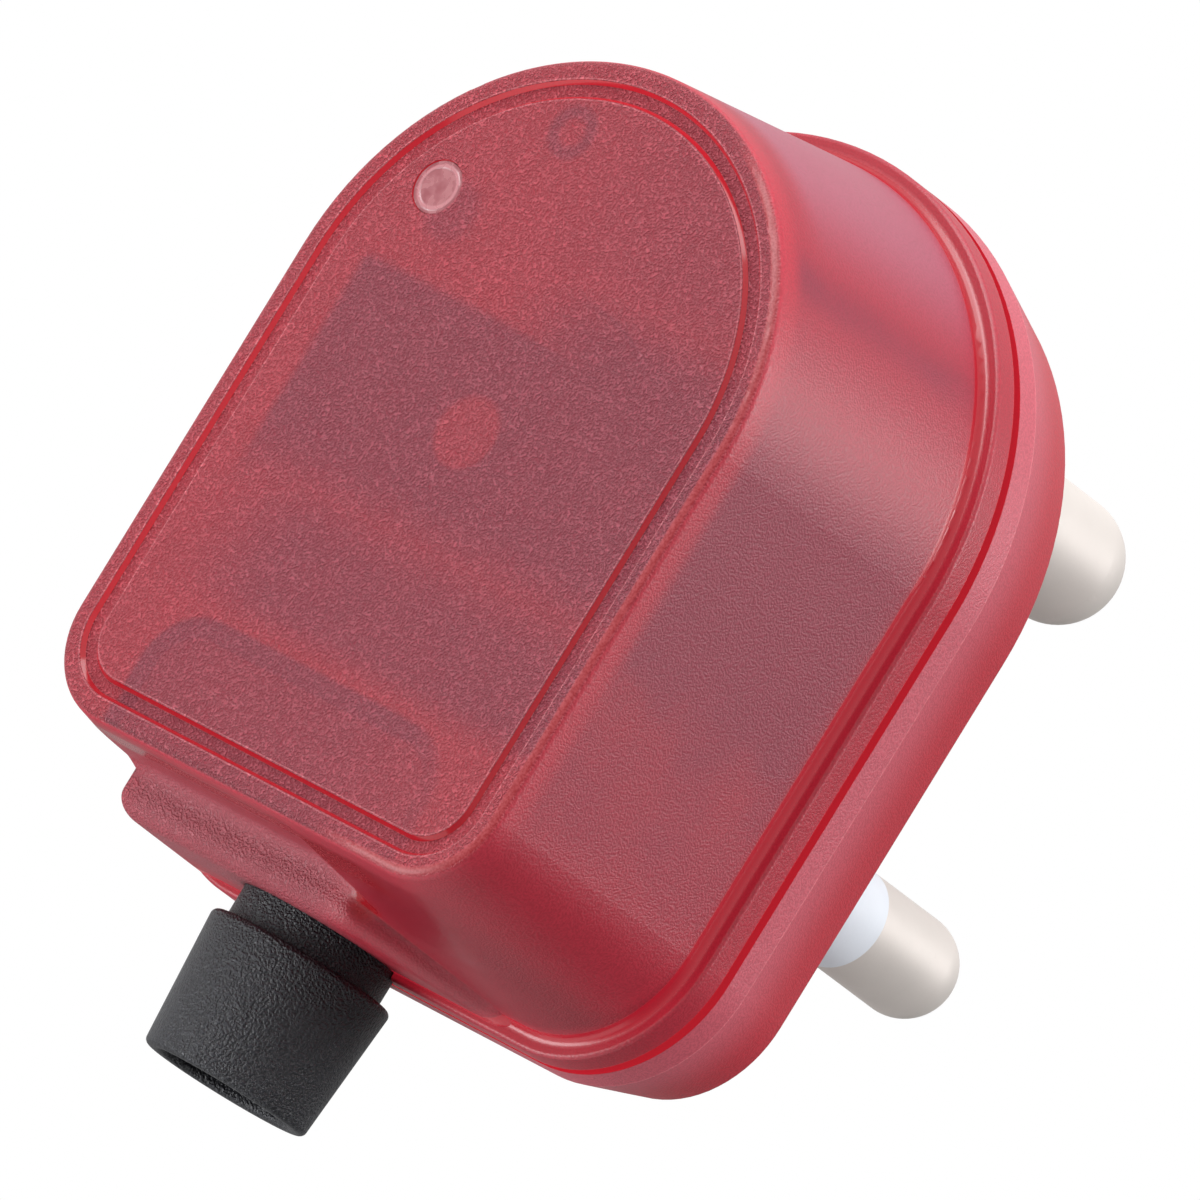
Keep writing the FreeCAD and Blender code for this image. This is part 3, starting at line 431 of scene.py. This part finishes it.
GOLD_BAND = (0.55, 0.38, 0.06, 1)
RESISTOR_LOW_H = 17.75
BAND_WIDTH = 0.45


def black_rubber():
    """Moulded rubber with a fine leathery grain."""
    f = Finish("black_rubber", Specular_IOR_Level=0.55)
    fine = f.noise(9.0, 1.0)
    grain = f.noise(5.4, 1.0).ramp(0.32, 0.68)
    cloud = f.noise(0.3, 2.0)
    dust = f.specks(0.3, 0.05, 0.35)
    f.set(
        Base_Color=f.blend(dust, f.blend(grain, BLACK_LOW, BLACK_HIGH), GREY_DUST),
        Roughness=0.34 + cloud * 0.12 + fine * 0.06,
        Normal=f.bump(grain, 0.08),
    )
    return f.material


def nickel():
    """Satin nickel plate with faint handling marks."""
    f = Finish("nickel_plate", Metallic=0.35)
    cloud = f.noise(0.28, 3.0, 0.55)
    fine = f.noise(4.0, 2.0)
    marks = f.noise(0.9, 4.0, 0.65).ramp(0.66, 0.78)
    f.set(
        Base_Color=f.blend(marks * 0.25, f.blend(cloud, NICKEL_DULL, NICKEL_BRIGHT), NICKEL_MARK),
        Roughness=0.50 + fine * 0.06 + marks * 0.05,
        Normal=f.bump(fine, 0.004),
    )
    return f.material


def white_nylon():
    """Smooth white moulded sleeve."""
    f = Finish("white_nylon")
    cloud = f.noise(0.4, 3.0)
    f.set(
        Base_Color=f.blend(cloud, WHITE_DULL, WHITE_BRIGHT),
        Roughness=0.34 + cloud * 0.08,
        Normal=f.bump(f.noise(3.0, 2.0), 0.006),
    )
    return f.material


def frosted_lens():
    """Clear window seen over the lamp: a pale ring round a cloudy middle."""
    f = Finish("frosted_lens", Transmission_Weight=0.35, IOR=1.49)
    ring = length(f.x - LENS_X, f.z - LENS_Z).within(LENS_RING_LOW_R, LENS_RING_R, 0.08)
    swirl = f.noise(0.9, 2.0, 0.6)
    middle = f.blend(swirl.ramp(0.35, 0.65), LENS_DARK, LENS_LIGHT)
    f.set(
        Base_Color=f.blend(ring, middle, LENS_RING),
        Roughness=0.22 + swirl * 0.1,
        Normal=f.bump(ring + swirl, 0.05),
    )
    return f.material


def mottled(name, colour, roughness, metallic=0.0, relief_mm=0.01, per_mm=1.0):
    """A finish of the insides: one colour, a little uneven in tone, gloss and surface."""
    f = Finish(name, Metallic=metallic)
    tone = f.noise(per_mm, 3.0, 0.55)
    darker = tuple(part * 0.78 for part in colour[:3]) + (1.0,)
    f.set(
        Base_Color=f.blend(tone.ramp(0.3, 0.7), darker, colour),
        Roughness=roughness + tone * 0.1,
        Normal=f.bump(tone, relief_mm),
    )
    return f.material


def resistor_bands():
    """Buff body with four colour bands along its length."""
    f = Finish("resistor_bands")
    tone = f.noise(2.0, 2.0)
    coat = f.blend(tone, BUFF_DARK, BUFF_LIGHT)
    for rise, colour in ((0.9, RED_BAND), (1.9, VIOLET_BAND), (2.9, ORANGE_BAND), (4.4, GOLD_BAND)):
        low = RESISTOR_LOW_H + rise
        coat = f.blend(f.h.within(low, low + BAND_WIDTH, 0.03), coat, colour)
    f.set(Base_Color=coat, Roughness=0.3 + tone * 0.1, Normal=f.bump(tone, 0.01))
    return f.material


FINISHES = {
    "shell": red_shell(),
    "rubber": black_rubber(),
    "nickel": nickel(),
    "nylon": white_nylon(),
    "zinc": mottled("zinc_steel", (0.60, 0.60, 0.62, 1), 0.3, metallic=1.0, relief_mm=0.003),
    "brass": mottled("strap_brass", (0.75, 0.58, 0.28, 1), 0.3, metallic=1.0, relief_mm=0.004),
    "lens": frosted_lens(),
    "lamp": mottled("lamp_body", (0.85, 0.45, 0.35, 1), 0.2, relief_mm=0.002),
    "case": mottled("black_case", (0.022, 0.022, 0.025, 1), 0.42, relief_mm=0.02, per_mm=2.5),
    "board": mottled("board_laminate", (0.035, 0.045, 0.030, 1), 0.45, relief_mm=0.01, per_mm=3.0),
    "varistor": mottled("varistor_coat", (0.03, 0.08, 0.35, 1), 0.35, relief_mm=0.03, per_mm=1.5),
    "fuse": mottled("fuse_can", (0.60, 0.58, 0.52, 1), 0.32, relief_mm=0.004),
    "resistor": resistor_bands(),
    "clamp": mottled("dark_clamp", (0.030, 0.020, 0.022, 1), 0.48, relief_mm=0.02, per_mm=2.5),
}
WEARS = {
    "shell": ["cover", "base"],
    "nickel": ["earth_pin", "live_pin", "neutral_pin"],
    "nylon": ["live_sleeve", "neutral_sleeve"],
    "rubber": ["cord_boot"],
    "lens": ["indicator_lens"],
    "lamp": ["indicator_lamp"],
    "case": ["module_case"],
    "board": ["circuit_board"],
    "varistor": ["varistor_live_neutral", "varistor_live_earth", "varistor_neutral_earth"],
    "fuse": ["thermal_fuse"],
    "resistor": ["resistor"],
    "clamp": ["cord_clamp"],
    "brass": ["live_strap", "neutral_strap", "earth_strap"],
    "zinc": ["clamp_screw_left", "clamp_screw_right", "cover_screw", "live_terminal_screw",
             "neutral_terminal_screw", "earth_terminal_screw"],
}
for finish, names in WEARS.items():
    for name in names:
        mesh = nodes[name].data
        mesh.materials.clear()
        mesh.materials.append(FINISHES[finish])


# Floor, light and camera, in metres

FLOOR_Z = -0.42
FLOOR_HALF = 0.25
LAMP_WIDTH = 0.30
LAMP_COLOUR = (0.96, 0.98, 1.0)
FACE_WAY = Vector((-0.15, -0.48, 0.36))
WALL_WAY = Vector((0.48, 0.22, 0.26))
VIEW_RIGHT = Vector((0.668, 0.531, 0.521)).normalized()
VIEW_DOWN = Vector((0.343, 0.400, -0.849))
VIEW_CENTRE = Vector((10.3, -23.1, -21.4)) * MM
VIEW_WIDTH = 0.07595
VIEW_DISTANCE = 3.0
SENSOR_MM = 36.0


def floor():
    bm = bmesh.new()
    place = Matrix.Translation((0.0, 0.0, FLOOR_Z))
    bmesh.ops.create_grid(bm, x_segments=1, y_segments=1, size=FLOOR_HALF, matrix=place)
    mesh = bpy.data.meshes.new("floor")
    bm.to_mesh(mesh)
    bm.free()
    piece = bpy.data.objects.new("floor", mesh)
    bpy.context.scene.collection.objects.link(piece)
    mesh.materials.append(mottled("floor_paint", (0.85, 0.85, 0.85, 1), 0.6, per_mm=0.02))


def lamp(name, way, power):
    """A square soft lamp that stands that way from the middle of the view and points at it."""
    light = bpy.data.lights.new(name, "AREA")
    light.size = LAMP_WIDTH
    light.energy = power
    light.color = LAMP_COLOUR
    piece = bpy.data.objects.new(name, light)
    piece.location = VIEW_CENTRE + way
    piece.rotation_euler = (-way).to_track_quat("-Z", "Y").to_euler()
    bpy.context.scene.collection.objects.link(piece)


def camera(right, up, back):
    data = bpy.data.cameras.new("camera")
    data.sensor_width = SENSOR_MM
    data.lens = SENSOR_MM * VIEW_DISTANCE / VIEW_WIDTH
    data.clip_start = 0.05
    data.clip_end = 40.0
    piece = bpy.data.objects.new("camera", data)
    turn = Matrix((right, up, back)).transposed()
    piece.matrix_world = Matrix.Translation(VIEW_CENTRE + back * VIEW_DISTANCE) @ turn.to_4x4()
    bpy.context.scene.collection.objects.link(piece)
    bpy.context.scene.camera = piece


def studio(up, shown, low, high):
    """A white surround: evenly bright behind the object, and lighting it more from above than from below."""
    world = bpy.data.worlds.new("studio")
    world.use_nodes = True
    tree = world.node_tree
    shade = tree.nodes["Background"]
    shade.inputs["Color"].default_value = (1.0, 1.0, 1.0, 1.0)
    path = add_node(tree, "ShaderNodeLightPath", {}, {})
    way = add_node(tree, "ShaderNodeTexCoord", {}, {}).outputs["Generated"]
    rise = add_node(tree, "ShaderNodeVectorMath", {"operation": "DOT_PRODUCT"}, {0: way, 1: up})
    glow = add_node(
        tree, "ShaderNodeMapRange", {"interpolation_type": "SMOOTHSTEP"},
        {"Value": rise.outputs["Value"], "From Min": -0.8, "From Max": 0.8, "To Min": low, "To Max": high},
    )
    mix = add_node(
        tree, "ShaderNodeMix", {},
        {0: path.outputs["Is Camera Ray"], 2: glow.outputs["Result"], 3: shown},
    )
    tree.links.new(mix.outputs[0], shade.inputs["Strength"])
    bpy.context.scene.world = world


up = (VIEW_RIGHT * VIEW_DOWN.dot(VIEW_RIGHT) - VIEW_DOWN).normalized()
back = VIEW_RIGHT.cross(up)
floor()
camera(VIEW_RIGHT, up, back)
studio(up, shown=1.0, low=0.18, high=1.0)
lamp("face_light", FACE_WAY, 2.4)
lamp("top_light", up * 0.45 + VIEW_RIGHT * 0.10 + back * 0.05, 1.2)
lamp("wall_light", WALL_WAY, 3.1)
lamp("left_light", back * 0.10 - VIEW_RIGHT * 0.5 - up * 0.05, 2.2)
bpy.context.scene.view_settings.view_transform = "Standard"
